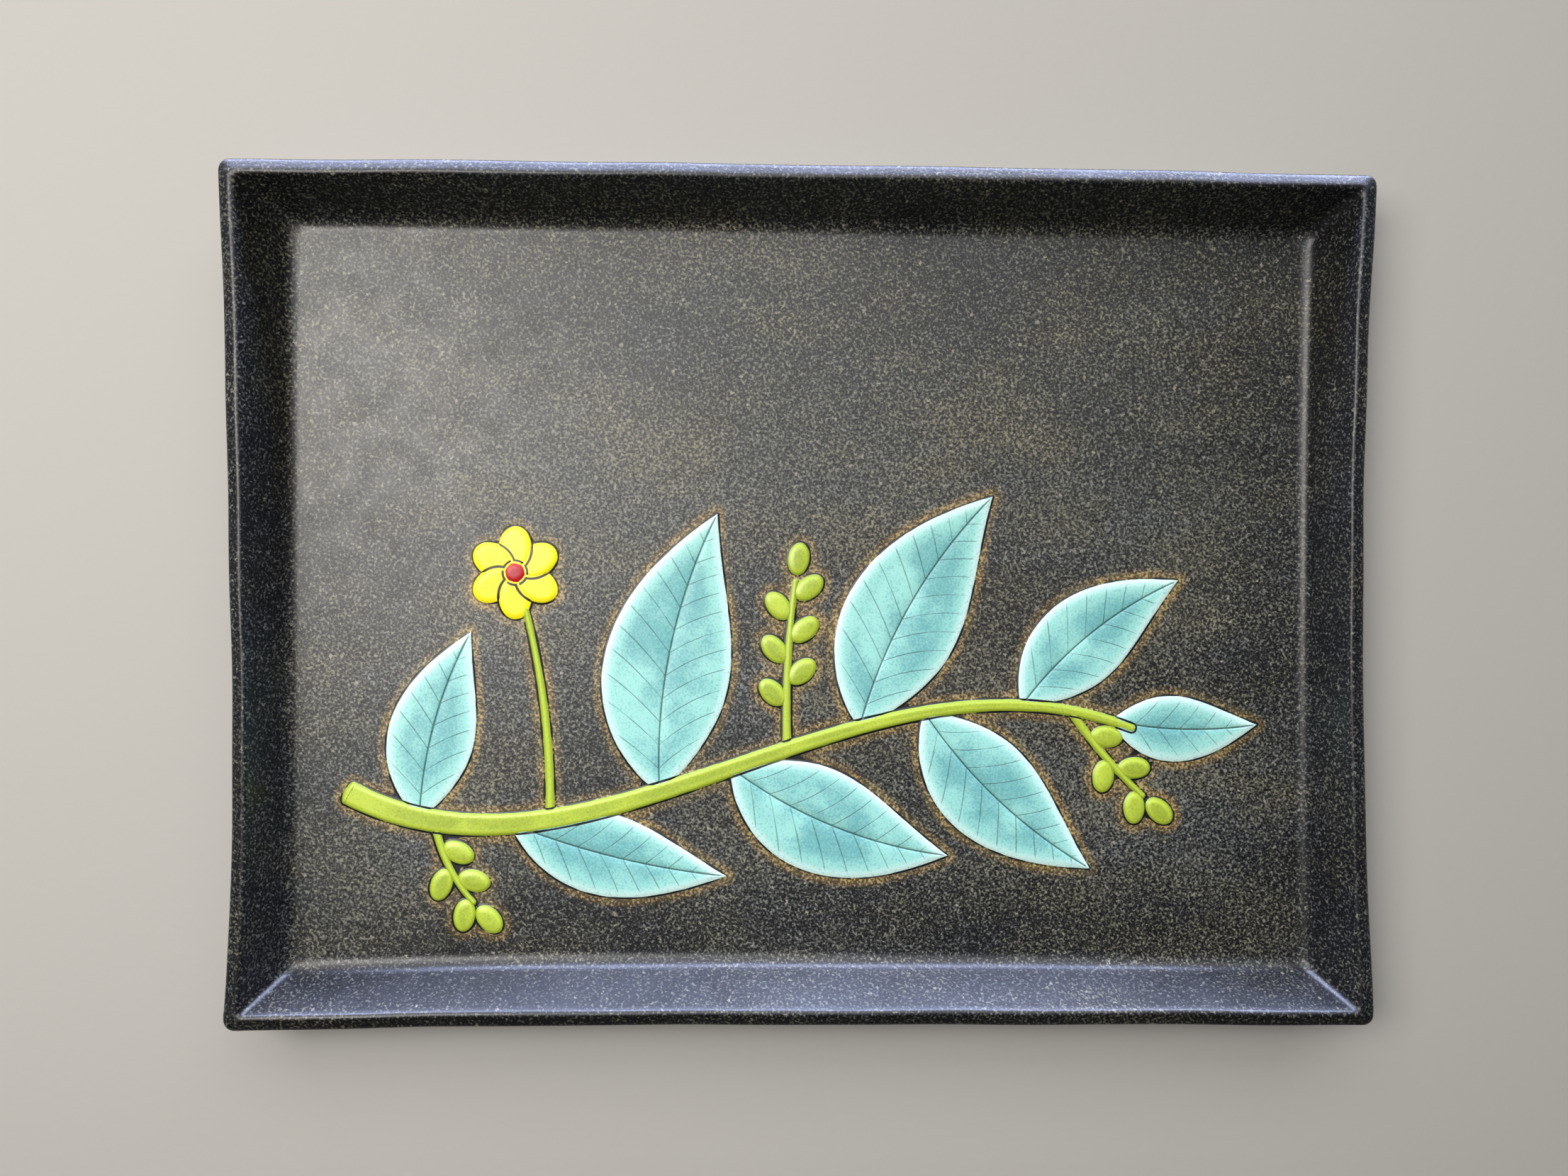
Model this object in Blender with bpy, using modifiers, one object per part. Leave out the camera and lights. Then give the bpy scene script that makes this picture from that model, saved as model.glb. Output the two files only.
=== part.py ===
"""Rectangular stoneware serving tray, hand built from slabs.

A flat floor folds up into four leaning walls. The rim is cut square to the walls, bows inwards along
the sides and flares at the corners. A leafy branch with berries and one blossom stands on the floor in
low relief. The tray rests flat on its base, with X along its width and Z up, and its origin is the
middle of the base.
"""

import math

import bmesh
import bpy
from mathutils import Matrix, Vector

MM = 0.001

# Slabs. The floor is measured between its folds and the rim between its inner edges, at the corners.
SLAB = 6.5 * MM
FLOOR_SIZE = (366.8 * MM, 265.4 * MM)
RIM_SIZE = (388.6 * MM, 287.2 * MM)
WALL_HEIGHT = 21.0 * MM
FOLD_RADIUS = 5.0 * MM
EDGE_ROUNDING = 1.7 * MM

# How far the middle of each side bows inwards at the floor and at the rim, and where along it that peaks
BOWS = {
    "left": (0.2 * MM, 3.5 * MM, 0.38),
    "right": (1.6 * MM, 4.3 * MM, 0.50),
    "near": (2.3 * MM, 1.3 * MM, 0.40),
    "far": (1.4 * MM, -0.9 * MM, 0.45),
}
# How far each rim corner is pulled out of square, by the signs of its X and Y
CORNER_PULLS = {
    (-1, -1): (0.0 * MM, 0.1 * MM),
    (1, -1): (0.9 * MM, -0.4 * MM),
    (-1, 1): (-2.0 * MM, 0.2 * MM),
    (1, 1): (-0.2 * MM, -0.2 * MM),
}

# Mesh fineness
FLOOR_CELLS = (20, 15)
FOLD_STEPS = 5
WALL_STEPS = 3
EDGE_STEPS = 3

# Relief. Heights are above the floor, and every pad is sunk into the slab so that it joins it.
SINK = 2.0 * MM
STEM_HEIGHT = 0.8 * MM
STALK_HEIGHT = 0.7 * MM
LEAF_HEIGHT = 0.6 * MM
PETAL_HEIGHT = 0.9 * MM
BERRY_HEIGHT = 1.2 * MM
CENTRE_HEIGHT = 1.5 * MM

# The main stem is one cubic curve from its cut end to its tip, with its width at both
STEM_POINTS = [
    (-164 * MM, -70 * MM),
    (-76 * MM, -118 * MM),
    (22 * MM, -8 * MM),
    (122 * MM, -48 * MM),
]
STEM_WIDTHS = (9.0 * MM, 3.5 * MM)
STEM_STEPS = 18

# Leaves: place along the stem, degrees from its direction, length, width, and degrees of bend
LEAVES = [
    (0.10, 100, 70 * MM, 31 * MM, -26),
    (0.22, -26, 80 * MM, 30 * MM, 16),
    (0.41, 76, 104 * MM, 46 * MM, -30),
    (0.50, -56, 86 * MM, 38 * MM, 30),
    (0.66, 60, 98 * MM, 43 * MM, -30),
    (0.74, -66, 84 * MM, 36 * MM, 26),
    (0.86, 56, 74 * MM, 32 * MM, -30),
    (0.97, 6, 54 * MM, 24 * MM, 20),
]
LEAF_STEPS = 12

# Berry sprays: place along the stem, degrees from its direction, stalk length, degrees of bend, berries
SPRAYS = [
    (0.12, -72, 34 * MM, 34, 5),
    (0.57, 74, 62 * MM, -10, 7),
    (0.92, -46, 42 * MM, 14, 5),
]
BERRY_SIZE = (12.0 * MM, 8.0 * MM)
BERRY_LEAN = math.radians(46)
BERRY_REACH = 0.60
BERRY_SPREAD = 0.70
STALK_WIDTHS = (3.4 * MM, 2.2 * MM)
STALK_STEPS = 8

# The blossom stands at the tip of a stalk: place along the stem, degrees, stalk length, degrees of bend
BLOSSOM_STALK = (0.27, 80, 90 * MM, 18)
PETALS = 6
PETAL_SIZE = (16.0 * MM, 12.0 * MM)
PETAL_REACH = 0.55
CENTRE_RADIUS = 4.4 * MM
ROUND_STEPS = 14

COLOURS = {
    "dark_glaze": (0.030, 0.027, 0.026, 1.0),
    "turquoise_glaze": (0.22, 0.64, 0.60, 1.0),
    "lime_glaze": (0.36, 0.58, 0.03, 1.0),
    "yellow_glaze": (0.88, 0.84, 0.03, 1.0),
    "red_glaze": (0.55, 0.01, 0.02, 1.0),
}
GLAZE_ROUGHNESS = 0.35


def clear_scene():
    for obj in list(bpy.data.objects):
        bpy.data.objects.remove(obj)


def new_collection(name):
    collection = bpy.data.collections.new(name)
    bpy.context.scene.collection.children.link(collection)
    return collection


def glaze(name):
    """The named glaze as a plain shader."""
    if name in bpy.data.materials:
        return bpy.data.materials[name]
    material = bpy.data.materials.new(name)
    material.use_nodes = True
    shader = material.node_tree.nodes["Principled BSDF"]
    shader.inputs["Base Color"].default_value = COLOURS[name]
    shader.inputs["Roughness"].default_value = GLAZE_ROUGHNESS
    shader.inputs["Metallic"].default_value = 0.0
    material.diffuse_color = COLOURS[name]
    return material


def bow(share, peak):
    """0 at both ends of a side and 1 at its peak."""
    return math.sin(math.pi * share ** (math.log(0.5) / math.log(peak)))


def hand_shaped(x, y, rise):
    """Where a point of the true, straight-sided tray lies on the bowed and pulled one. The rise goes from
    0 at the floor to 1 at the rim."""
    u, v = (
        min(max(at / (0.5 * (floor + (rim - floor) * rise)), -1), 1)
        for at, floor, rim in zip((x, y), FLOOR_SIZE, RIM_SIZE)
    )
    moved = Vector((x, y))
    for axis, here, along, sides in ((0, u, v, ("left", "right")), (1, v, u, ("near", "far"))):
        floor_bow, rim_bow, peak = BOWS[sides[here > 0]]
        moved[axis] -= here**3 * (floor_bow + (rim_bow - floor_bow) * rise) * bow((along + 1) / 2, peak)
    for (sign_u, sign_v), pull in CORNER_PULLS.items():
        moved += Vector(pull) * (rise * (1 + sign_u * u) * (1 + sign_v * v) / 4)
    return moved


def wall_rings():
    """(run, height, rise) of the rings that lead from the flat floor round the fold, up the wall, over the
    square-cut lip and back down the outside to the base, one slab thickness away."""
    run_to_rim = (RIM_SIZE[0] - FLOOR_SIZE[0]) / 2
    slope = math.atan2(WALL_HEIGHT, run_to_rim)
    turns = [slope * step / FOLD_STEPS for step in range(FOLD_STEPS + 1)]
    line = []
    for turn in turns:
        run = FOLD_RADIUS * (math.sin(turn) - math.tan(slope / 2))
        line.append((run, FOLD_RADIUS * (1 - math.cos(turn)), turn))
    run, height, _ = line[-1]
    for step in range(1, WALL_STEPS + 1):
        share = step / WALL_STEPS
        line.append((run + (run_to_rim - run) * share, height + (WALL_HEIGHT - height) * share, slope))
    inside = [(run, height, height / WALL_HEIGHT) for run, height, turn in line]
    outside = [
        (run + SLAB * math.sin(turn), height - SLAB * math.cos(turn), height / WALL_HEIGHT)
        for run, height, turn in line
    ]
    return inside + outside[::-1]


def tray_shell(collection):
    """The floor as a grid with its border drawn out ring by ring to the base, which one face closes."""
    rings = wall_rings()
    bm = bmesh.new()
    bmesh.ops.create_grid(bm, x_segments=FLOOR_CELLS[0], y_segments=FLOOR_CELLS[1], size=0.5)
    half = [size / 2 + rings[0][0] for size in FLOOR_SIZE]
    bmesh.ops.scale(bm, vec=(2 * half[0], 2 * half[1], 1), verts=bm.verts)
    rises = {vert: 0.0 for vert in bm.verts}
    border = [edge for edge in bm.edges if edge.is_boundary]
    for run, height, rise in rings[1:]:
        drawn = bmesh.ops.extrude_edge_only(bm, edges=border)["geom"]
        border = [item for item in drawn if isinstance(item, bmesh.types.BMEdge) and item.is_boundary]
        outer = [size / 2 + run for size in FLOOR_SIZE]
        for vert in {vert for edge in border for vert in edge.verts}:
            for axis in (0, 1):
                if math.isclose(abs(vert.co[axis]), half[axis], abs_tol=0.01 * MM):
                    vert.co[axis] = math.copysign(outer[axis], vert.co[axis])
            vert.co.z = height
            rises[vert] = rise
        half = outer
    for vert, rise in rises.items():
        vert.co.xy = hand_shaped(vert.co.x, vert.co.y, rise)
    bmesh.ops.contextual_create(bm, geom=border)
    spans = [[vert.co[axis] for vert in bm.verts] for axis in (0, 1)]
    middle = Vector((*((min(span) + max(span)) / 2 for span in spans), 0))
    bmesh.ops.translate(bm, verts=bm.verts, vec=Vector((0, 0, SLAB)) - middle)
    bmesh.ops.recalc_face_normals(bm, faces=bm.faces)
    mesh = bpy.data.meshes.new("tray")
    bm.to_mesh(mesh)
    bm.free()
    tray = bpy.data.objects.new("tray", mesh)
    tray.data.materials.append(glaze("dark_glaze"))
    collection.objects.link(tray)
    rounding = tray.modifiers.new("Soft edges", "BEVEL")
    rounding.width = EDGE_ROUNDING
    rounding.segments = EDGE_STEPS
    rounding.limit_method = "ANGLE"
    rounding.angle_limit = math.radians(50)
    return tray


def pad(name, outline, height, glaze_name, collection):
    """A low pad on the floor with a softened top edge, from the points of its outline."""
    bm = bmesh.new()
    base = [bm.verts.new((x, y, SLAB - SINK)) for x, y in outline]
    face = bm.faces.new(base)
    if face.normal.z > 0 or face.calc_area() == 0:
        face.normal_flip()
    raised = bmesh.ops.extrude_face_region(bm, geom=[face], use_keep_orig=True)["geom"]
    top = [item for item in raised if isinstance(item, bmesh.types.BMFace)]
    bmesh.ops.translate(bm, verts=top[0].verts, vec=(0, 0, SINK + 0.4 * height))
    bmesh.ops.recalc_face_normals(bm, faces=bm.faces)
    bmesh.ops.inset_region(bm, faces=top, thickness=height, depth=0.6 * height)
    mesh = bpy.data.meshes.new(name)
    bm.to_mesh(mesh)
    bm.free()
    mesh.materials.append(glaze(glaze_name))
    collection.objects.link(bpy.data.objects.new(name, mesh))


def stem_at(share):
    """The point and the direction, in radians, of the main stem at a share of its way."""
    a, b, c, d = (Vector(point) for point in STEM_POINTS)
    rest = 1 - share
    point = rest**3 * a + 3 * rest**2 * share * b + 3 * rest * share**2 * c + share**3 * d
    course = rest**2 * (b - a) + 2 * rest * share * (c - b) + share**2 * (d - c)
    return point, math.atan2(course.y, course.x)


def ribbon(centres, widths):
    """The outline of a band, from its centre points and its width at each."""
    sides = ([], [])
    for index, (centre, width) in enumerate(zip(centres, widths)):
        before = centres[max(index - 1, 0)]
        after = centres[min(index + 1, len(centres) - 1)]
        across = Vector((before.y - after.y, after.x - before.x)).normalized() * (width / 2)
        sides[0].append(centre + across)
        sides[1].append(centre - across)
    return sides[0] + sides[1][::-1]


def bent_line(start, heading, length, bend, steps):
    """Points along a line that turns evenly by bend radians over its length."""
    points = [Vector(start)]
    for step in range(steps):
        turn = heading + bend * (step + 0.5) / steps
        points.append(points[-1] + Vector((math.cos(turn), math.sin(turn))) * (length / steps))
    return points


def leaf_outline(start, heading, length, width, bend):
    """A leaf with a rounded base and a pointed tip."""
    centres = bent_line(start, heading, length, bend, LEAF_STEPS)
    widths = [width * math.sin(math.pi * (step / LEAF_STEPS) ** 0.8) for step in range(LEAF_STEPS)]
    outline = ribbon(centres[1:-1], widths[1:])
    middle = len(outline) // 2
    return [centres[0]] + outline[:middle] + [centres[-1]] + outline[middle:]


def add_stem(collection):
    shares = [step / STEM_STEPS for step in range(STEM_STEPS + 1)]
    widths = [STEM_WIDTHS[0] + (STEM_WIDTHS[1] - STEM_WIDTHS[0]) * share for share in shares]
    centres = [stem_at(share)[0] for share in shares]
    pad("stem", ribbon(centres, widths), STEM_HEIGHT, "lime_glaze", collection)


def add_leaves(collection):
    for number, (share, angle, length, width, bend) in enumerate(LEAVES):
        start, heading = stem_at(share)
        outline = leaf_outline(start, heading + math.radians(angle), length, width, math.radians(bend))
        pad(f"leaf_{number}", outline, LEAF_HEIGHT, "turquoise_glaze", collection)


def ellipse(centre, size, heading):
    """The outline of an oval of this length and width, lying along the heading."""
    turn = Matrix.Rotation(heading, 2)
    angles = [math.tau * step / ROUND_STEPS for step in range(ROUND_STEPS)]
    return [centre + turn @ Vector((size[0] * math.cos(a), size[1] * math.sin(a))) / 2 for a in angles]


def add_stalk(name, share, angle, length, bend, collection):
    """A thin stalk that leaves the stem. Returns its points and the direction at its start."""
    start, heading = stem_at(share)
    heading += math.radians(angle)
    centres = bent_line(start, heading, length, math.radians(bend), STALK_STEPS)
    shares = [step / STALK_STEPS for step in range(STALK_STEPS + 1)]
    widths = [STALK_WIDTHS[0] + (STALK_WIDTHS[1] - STALK_WIDTHS[0]) * at for at in shares]
    pad(name, ribbon(centres, widths), STALK_HEIGHT, "lime_glaze", collection)
    return centres, heading


def add_sprays(collection):
    """Stalks with oval berries set on alternate sides and one at the tip."""
    for number, (share, angle, length, bend, count) in enumerate(SPRAYS):
        centres, heading = add_stalk(f"stalk_{number}", share, angle, length, bend, collection)
        for berry in range(count):
            at = 1 - BERRY_SPREAD * berry / (count - 1)
            side = 0 if berry == 0 else (-1) ** berry
            lean = heading + math.radians(bend) * at + side * BERRY_LEAN
            root = centres[round(at * STALK_STEPS)]
            centre = root + Vector((math.cos(lean), math.sin(lean))) * (BERRY_REACH * BERRY_SIZE[0])
            outline = ellipse(centre, BERRY_SIZE, lean)
            pad(f"berry_{number}_{berry}", outline, BERRY_HEIGHT, "lime_glaze", collection)


def add_blossom(collection):
    middle = add_stalk("blossom_stalk", *BLOSSOM_STALK, collection)[0][-1]
    for petal in range(PETALS):
        heading = math.tau * (petal + 0.5) / PETALS
        centre = middle + Vector((math.cos(heading), math.sin(heading))) * (PETAL_REACH * PETAL_SIZE[0])
        pad(f"petal_{petal}", ellipse(centre, PETAL_SIZE, heading), PETAL_HEIGHT, "yellow_glaze", collection)
    centre_size = (2 * CENTRE_RADIUS, 2 * CENTRE_RADIUS)
    pad("blossom_centre", ellipse(middle, centre_size, 0), CENTRE_HEIGHT, "red_glaze", collection)


def join_relief(tray, relief):
    """Makes the tray and everything that stands on its floor one solid."""
    union = tray.modifiers.new("Relief", "BOOLEAN")
    union.operation = "UNION"
    union.operand_type = "COLLECTION"
    union.collection = relief
    union.solver = "EXACT"
    union.material_mode = "TRANSFER"
    graph = bpy.context.evaluated_depsgraph_get()
    joined = bpy.data.meshes.new_from_object(tray.evaluated_get(graph))
    tray.modifiers.clear()
    tray.data = joined
    for obj in list(relief.objects):
        bpy.data.objects.remove(obj)
    bpy.data.collections.remove(relief)


def build():
    clear_scene()
    tray_parts = new_collection("serving_tray")
    relief = new_collection("relief")
    tray = tray_shell(tray_parts)
    add_stem(relief)
    add_leaves(relief)
    add_sprays(relief)
    add_blossom(relief)
    join_relief(tray, relief)


build()
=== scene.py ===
"""Finishes a rectangular stoneware serving tray and sets it on a plain stage.

The script is laid out as an add-on with one operator for each piece or group of like pieces, and makes all
of them when it is run as a script. Lengths are in metres in the frame of the packed model: X runs along the
tray's width, Y across it from the near to the far side, Z up, and the origin is the middle of its base.
"""

import math
from collections import namedtuple

import bpy
import numpy as np
from bpy.props import FloatProperty, FloatVectorProperty, IntProperty, PointerProperty
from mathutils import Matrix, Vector


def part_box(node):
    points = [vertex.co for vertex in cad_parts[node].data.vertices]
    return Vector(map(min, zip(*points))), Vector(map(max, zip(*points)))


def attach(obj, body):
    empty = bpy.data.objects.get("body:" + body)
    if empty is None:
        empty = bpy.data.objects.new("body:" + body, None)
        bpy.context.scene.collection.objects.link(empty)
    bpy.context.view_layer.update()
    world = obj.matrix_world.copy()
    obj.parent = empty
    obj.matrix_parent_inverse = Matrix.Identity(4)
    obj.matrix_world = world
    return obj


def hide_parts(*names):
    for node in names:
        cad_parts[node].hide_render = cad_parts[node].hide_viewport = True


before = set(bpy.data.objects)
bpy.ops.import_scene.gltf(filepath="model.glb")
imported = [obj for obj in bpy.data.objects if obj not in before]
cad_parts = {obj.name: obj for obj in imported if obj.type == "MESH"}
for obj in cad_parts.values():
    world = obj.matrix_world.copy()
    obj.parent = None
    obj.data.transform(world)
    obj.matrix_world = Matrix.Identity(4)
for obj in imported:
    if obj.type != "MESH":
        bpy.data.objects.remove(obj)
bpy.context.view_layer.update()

bl_info = {
    "name": "Stoneware Serving Tray",
    "version": (1, 0, 0),
    "blender": (4, 5, 0),
    "location": "View3D > Sidebar > Tray",
    "description": "Makes a hand-built, glazed serving tray with a leafy branch on its floor",
    "category": "Object",
}

MM = 0.001

# How far the middle of each side bows inwards at the floor and at the rim, and where along it that peaks
BOWS = {
    "left": (0.0 * MM, 3.5 * MM, 0.38),
    "right": (1.0 * MM, 4.3 * MM, 0.50),
    "near": (2.8 * MM, 1.3 * MM, 0.40),
    "far": (0.1 * MM, -0.9 * MM, 0.45),
}
# How far each rim corner is pulled out of square, by the signs of its X and Y
CORNER_PULLS = {
    (-1, -1): (0.0 * MM, 0.1 * MM),
    (1, -1): (0.9 * MM, -0.4 * MM),
    (-1, 1): (-2.0 * MM, 0.2 * MM),
    (1, 1): (-0.2 * MM, -0.2 * MM),
}

# Lengths of the slow waves in the floor, and of those by which the walls wander along X, Y and Z
FLOOR_WAVES = (210 * MM, 130 * MM, 84 * MM)
WALL_WAVES = (
    (150 * MM, 90 * MM, 52 * MM),
    (140 * MM, 86 * MM, 48 * MM),
    (190 * MM, 110 * MM, 60 * MM, 34 * MM),
)
FLOOR_SEED = 5
WALL_SEEDS = (11, 12, 13)
# As shares of the walls' wobble: how much more the outside moves than the inside, and how far the lip rises
OUTSIDE_WOBBLE = 0.3
LIP_WOBBLE = 0.8

# The main stem is one cubic curve from its cut end to its tip
STEM_POINTS = np.array([(-164, -70), (-76, -118), (22, -8), (122, -48)]) * MM
STEM_SAMPLES = 400

# Leaves: place along the stem, degrees from its direction, length, width, and degrees of bend
LEAVES = [
    (0.10, 100, 70 * MM, 31 * MM, -26),
    (0.22, -26, 80 * MM, 30 * MM, 16),
    (0.41, 76, 104 * MM, 46 * MM, -30),
    (0.50, -56, 86 * MM, 38 * MM, 30),
    (0.66, 60, 98 * MM, 43 * MM, -30),
    (0.74, -66, 84 * MM, 36 * MM, 26),
    (0.86, 56, 74 * MM, 32 * MM, -30),
    (0.97, 6, 54 * MM, 24 * MM, 20),
]
# Berry sprays: place along the stem, degrees from its direction, stalk length, degrees of bend, berries
SPRAYS = [
    (0.12, -72, 34 * MM, 34, 5),
    (0.57, 74, 62 * MM, -10, 7),
    (0.92, -46, 42 * MM, 14, 5),
]
# The blossom's stalk: place along the stem, degrees, length, degrees of bend
BLOSSOM_STALK = (0.27, 80, 90 * MM, 18)
# Berries lean out from their stalk, with their middles a share of their own length away from it. They take
# up a share of the stalk from its tip on, and sit at whole eighths of it
BERRY_LEAN = math.radians(46)
BERRY_REACH = 0.60
BERRY_SPREAD = 0.70
BERRY_ROOTS = 8
# Millimetres over which the edge of each kind of pad rounds over
STEM_ROUNDING = 1.8
LEAF_ROUNDING = 2.4
BERRY_ROUNDING = 3.6
PETAL_ROUNDING = 2.4
CENTRE_ROUNDING = 3.2
# How much higher a petal's one side stands than its middle, as a share
PETAL_TILT = 0.3
# How far out a petal's middle lies, as a share of its length
PETAL_REACH = 0.55
# Below 1, a leaf is widest nearer to its base than to its tip
LEAF_FULLNESS = 0.8

# Mesh fineness
FLOOR_CELL = 1.9 * MM
END_CELL = 0.8 * MM
END_CELLS = 8
FOLD_STEPS = 8
WALL_STEPS = 10
LIP_STEPS = 5
LIP_FLAT_STEPS = 3
LONG_STEPS = 120
LEAF_STEPS = 44
OVAL_STEPS = 26
BAND_END_STEPS = 12
# Stems from this length on get the finer steps
LONG_STEM = 100 * MM

# Rows of a relief pad, in millimetres in from its outline and out from its middle line
EDGE_ROWS = (-0.60, -0.50, -0.05, 0.12, 0.35, 0.80, 1.60)
MIDDLE_ROWS = (0.70, 0.40, 0.15)
BETWEEN_ROWS = 3
# The rows draw together where a pad's half width is less than this
NARROW_MM = 2.4
# Height of the first rows, where the pad meets the floor, and how roundly it rises from there
SKIRT_HEIGHTS = (-0.06 * MM, 0.02 * MM, 0.03 * MM)
EDGE_ROUNDNESS = 2.6
# Half width of a leaf's groove, and how far in from the outline it has its full depth
GROOVE_HALF = 0.35 * MM
GROOVE_FADE_MM = 3.0
# Where a pad's two ends lie, as a multiple of the first row, and half the width of those ends
END_REACH = 1.03
END_HALF = 0.03 * MM
# How far a pad goes down into the slab
PAD_SINK = 0.5 * MM
# Points further than this from an outline are given the distance that stands for far away
NEAR_OUTLINE = 14 * MM
FAR_MM = 99.0
# How near to both ends the places along a pad begin, in radians of their easing
EASE_START = 0.02
# These keep a division from zero
SMALL = 1e-6
TINY = 1e-18
MM_IN_A_METRE = 1000.0

# Patterns in the glazes: how they are turned or drawn out, and their sizes
GRAIN_TURN = (0.61, 0.44, 0.70)
DRAWN_OUT = (0.45, 1.0, 1.0)
PATCH_MM = 20.0
DRIFT_MM = 56.0
STREAK_MM = 24.0
GRAIN_MM = 0.9
HAZE_MM = 0.6
FLECK_MM = 1.6
GROG_MM = 1.2
BRIGHT_GRAIN_MM = 0.75
# How much of the dark glaze the grain covers: everywhere, and what patches, drifts, the folds' nearness and
# the walls add to that. The sparser grain near the folds and on the walls darkens them: partly thinner glaze
# there, partly painted shade
COVER = 0.35
PATCH_COVER = 0.04
DRIFT_COVER = 0.10
FOLD_THIN_GLAZE_AND_SHADE_COVER = -0.06
WALL_THIN_GLAZE_AND_SHADE_COVER = -0.05
# Bands of the dark glaze, in millimetres from where each begins to where it is full: two beside the
# branch's outlines, and two counted inwards from the floor's edge, which is where the walls begin
WARM_BAND = (4.5, 0.5)
FRINGE_BAND = (4.2, 0.8)
FOLD_THIN_GLAZE_AND_SHADE_BAND = (50.0, 0.0)
WALL_THIN_GLAZE_AND_SHADE_BAND = (4.0, -12.0)
# The glaze's lower end: the size and height of its wander, the band above its line in which bare clay
# begins, and how much rougher the clay is
END_WANDER_MM = 7.0
END_WANDER_HEIGHT = 2.5
BARE_BAND = (0.9, 0.4)
BARE_ROUGHER = 0.4
# In millimetres, how softly a cut line ends at its sides, and how far lines and grain stand up, or lie
# deeper where it is below zero
LINE_SOFTNESS_MM = 0.18
DARK_LINE_HEIGHT = -0.10
DARK_GRAIN_HEIGHT = 0.012
BRIGHT_LINE_HEIGHT = -0.12
BRIGHT_GRAIN_HEIGHT = -0.01
# How strongly the deep colour shows in the middle of a bright glaze and in its grain, and how strongly the
# side veins and all of the veins are drawn
DEEP_MIDDLE = 0.5
DEEP_GRAIN = 0.6
SIDE_VEINS = 0.7
VEIN_COLOUR = 0.7
# Side veins: how they lean forwards and curve on their way out, and half of the distance between two
VEIN_SLOPE = -0.95
VEIN_CURVE = 0.012
VEIN_HALF_GAP_MM = 4.2
# Grain: the noise at which it begins when nothing is covered, and how much lower that is with full cover
GRAIN_START = 0.63
GRAIN_RANGE = 0.45
# Flecks: the scale of the noise that bends them out of round, and how far it does, as shares of their size,
# then the least brightness and radius of one and how much more it may have
FLECK_BEND_SCALE = 1.6
FLECK_BEND = 1.3
FLECK_LEVELS = (0.3, 0.7)
FLECK_RADII = (0.10, 0.22)
# How strongly each kind of grain shows on the floor, and what the walls add to that, which darkens the
# walls:
# partly thinner glaze, partly painted shade
HAZE_SHARES = (0.55, -0.45)
GRAIN_SHARES = (1.0, -0.35)
FLECK_SHARES = (0.85, -0.30)

# Sockets of a Mix node that mixes colours
MIX_FIRST, MIX_SECOND, MIX_RESULT = 6, 7, 2

# Half the ground's width, how far below the base it lies, and the height of its relief
GROUND_HALF = 3.0
GROUND_DROP = 0.3 * MM
GROUND_RELIEF_MM = 0.06
SENSOR_WIDTH_MM = 36
# The soft lights, all aimed at the tray: place, size and colour
PANELS = {
    "key": ((-0.55, 0.20, 0.95), (0.50, 0.60), (1.0, 0.96, 0.91)),
    "fill": ((-0.10, 0.35, 1.00), (0.90, 0.60), (0.98, 0.98, 1.0)),
    "sky_panel": ((0, 1.70, 1.40), (3.2, 1.00), (1.0, 0.99, 0.97)),
    "window": ((0, 3.20, 0.36), (5.6, 0.60), (0.58, 0.66, 1.0)),
}


def srgb(red, green, blue):
    """A colour given as 0 to 255 on screen, as the linear values that shaders use."""
    shares = (level / 255 for level in (red, green, blue))
    linear = (s / 12.92 if s <= 0.04045 else ((s + 0.055) / 1.055) ** 2.4 for s in shares)
    return (*linear, 1.0)


def length_property(name, description, millimetres):
    """A length setting whose default is given in millimetres."""
    return FloatProperty(
        name=name, description=description, default=millimetres * MM, subtype="DISTANCE", unit="LENGTH",
        precision=4,
    )


def colour_property(name, description, *levels):
    """A colour setting whose default is given as red, green and blue from 0 to 255 on screen."""
    return FloatVectorProperty(
        name=name, description=description, default=srgb(*levels), subtype="COLOR", size=4, min=0, max=1
    )


class TrayShape(bpy.types.PropertyGroup):
    """Sizes of the tray's slab, floor, walls and lip."""

    slab: length_property("Slab", "Thickness of the clay slab", 6.5)
    floor_width: length_property("Floor width", "Between the folds, along X", 369.0)
    floor_depth: length_property("Floor depth", "Between the folds, along Y", 268.4)
    rim_width: length_property("Rim width", "Between the inner rim edges, along X", 388.6)
    rim_depth: length_property("Rim depth", "Between the inner rim edges, along Y", 287.2)
    wall_height: length_property("Wall height", "From the floor up to the inner rim edge", 21.0)
    fold_radius: length_property("Fold radius", "Of the turn from floor to wall, inside", 6.0)
    lip_rounding: length_property("Lip rounding", "Radius of the lip's two edges", 1.7)
    near_corner: length_property("Near corner", "Radius of the floor's near corners", 3.2)
    far_corner: length_property("Far corner", "Radius of the floor's far corners", 6.2)
    rim_corner: length_property("Rim corner", "Radius of the rim's inner corners", 2.2)
    outer_corner: length_property("Outer corner", "How much rounder the corners are outside", 1.6)
    floor_wave: length_property("Floor wave", "How far the floor is from flat", 0.22)
    wobble: length_property("Wobble", "How far the walls wander from their line", 0.40)
    glaze_line: length_property("Glaze line", "How far above the base the glaze stops", 4.0)


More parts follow.
